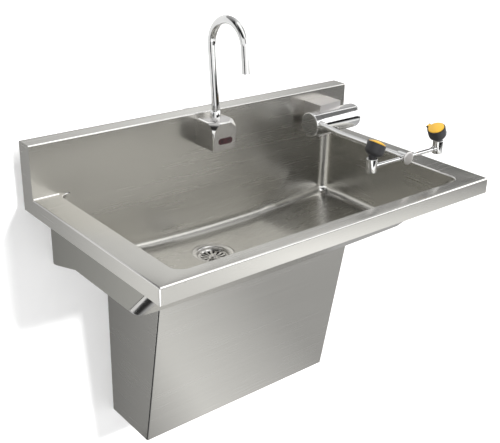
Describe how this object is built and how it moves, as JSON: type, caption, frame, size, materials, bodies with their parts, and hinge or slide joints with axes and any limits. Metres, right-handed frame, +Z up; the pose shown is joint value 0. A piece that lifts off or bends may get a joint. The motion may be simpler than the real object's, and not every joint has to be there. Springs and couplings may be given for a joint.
{
  "type": "laboratory sink unit",
  "caption": "Wall-hung stainless laboratory sink with a back splash, a front shroud, a hands-free gooseneck faucet and a swing-down eyewash with flip-top spray heads.",
  "frame": {"origin": "on the wall plane, in the middle of the deck's width, level with the deck's top face: the centre of the four upper wall bolts", "axes": "+X to the right of someone standing at the sink, +Y into the wall, +Z up"},
  "size_m": [1.016, 0.59, 1.1108],
  "materials": {
    "stainless": "satin, brushed along the sheet",
    "bracket_steel": "mill finish stainless plate",
    "polished_steel": "polished",
    "chrome": "polished",
    "plated_waste": "plated tube",
    "brass": "turned",
    "supply_tube": "drawn copper tube",
    "red_window": "clear dark red lens",
    "black_plastic": "moulded",
    "grey_plastic": "moulded",
    "yellow_plastic": "moulded",
    "black_rubber": "matt"
  },
  "bodies": {
    "fixture": {"deck": "stainless", "splash": "stainless", "splash_end_left": "stainless", "splash_end_right": "stainless", "bowl": "stainless", "skirt": "stainless", "bracket_left": "bracket_steel", "bracket_right": "bracket_steel", "wall_rail": "bracket_steel", "drain_flange": "polished_steel", "drain_gasket": "black_rubber", "drain_locknut": "brass", "tailpiece": "plated_waste", "slip_nuts": "plated_waste", "trap_bend": "plated_waste", "trap_arm": "plated_waste", "faucet_housing": "chrome", "sensor_window": "red_window", "spout_collar": "chrome", "faucet_shank": "brass", "faucet_locknut": "brass", "cable_gland": "grey_plastic", "stop_hot": "chrome", "stop_cold": "chrome", "riser_hot": "supply_tube", "riser_cold": "supply_tube", "mixing_valve": "brass", "control_box": "grey_plastic", "control_lid": "grey_plastic", "valve_line": "supply_tube", "faucet_line": "supply_tube", "eyewash_line": "supply_tube", "eyewash_block": "chrome", "eyewash_barrel": "chrome", "barrel_cap": "chrome", "eyewash_shank": "brass", "eyewash_locknut": "brass"},
    "spout_body": {"spout": "chrome", "spout_outlet": "grey_plastic"},
    "strainer": {"basket_strainer": "polished_steel"},
    "hot_handle": {"stop_handle_hot": "chrome"},
    "cold_handle": {"stop_handle_cold": "chrome"},
    "eyewash_arm": {"swing_hub": "chrome", "valve_stem": "brass", "arm_tube": "chrome", "arm_tee": "chrome", "tee_plug": "chrome", "cross_tube_left": "chrome", "cross_tube_right": "chrome", "socket_left": "chrome", "socket_right": "chrome", "cup_left": "black_plastic", "cup_right": "black_plastic", "spray_face_left": "grey_plastic", "spray_face_right": "grey_plastic", "hinge_pin_left": "polished_steel", "hinge_pin_right": "polished_steel"},
    "left_cover": {"cover_left": "yellow_plastic"},
    "right_cover": {"cover_right": "yellow_plastic"}
  },
  "joints": [
    {"name": "spout_swivel", "type": "hinge", "parent": "fixture", "child": "spout_body", "pos_m": [0, -0.0845, 0.13], "axis": [0, 0, 1], "range_deg": [-90, 90]},
    {"name": "strainer_lift", "type": "slide", "parent": "fixture", "child": "strainer", "axis": [0, 0, 1], "range_m": [0, 0.06]},
    {"name": "hot_stop_turn", "type": "hinge", "parent": "fixture", "child": "hot_handle", "pos_m": [0.06, -0.06, -0.52], "axis": [0, 1, 0], "range_deg": [0, 90]},
    {"name": "cold_stop_turn", "type": "hinge", "parent": "fixture", "child": "cold_handle", "pos_m": [0.2, -0.06, -0.52], "axis": [0, 1, 0], "range_deg": [0, 90]},
    {"name": "eyewash_swing", "type": "hinge", "parent": "fixture", "child": "eyewash_arm", "pos_m": [0.335, -0.103, 0.053], "axis": [-1, 0, 0], "range_deg": [0, 90]},
    {"name": "left_cover_flip", "type": "hinge", "parent": "eyewash_arm", "child": "left_cover", "pos_m": [0.22368, -0.4254, 0.11111], "axis": [-0.8988, 0, 0.4384], "range_deg": [0, 110]},
    {"name": "right_cover_flip", "type": "hinge", "parent": "eyewash_arm", "child": "right_cover", "pos_m": [0.44632, -0.4254, 0.11111], "axis": [-0.8988, 0, -0.4384], "range_deg": [0, 110]}
  ]
}
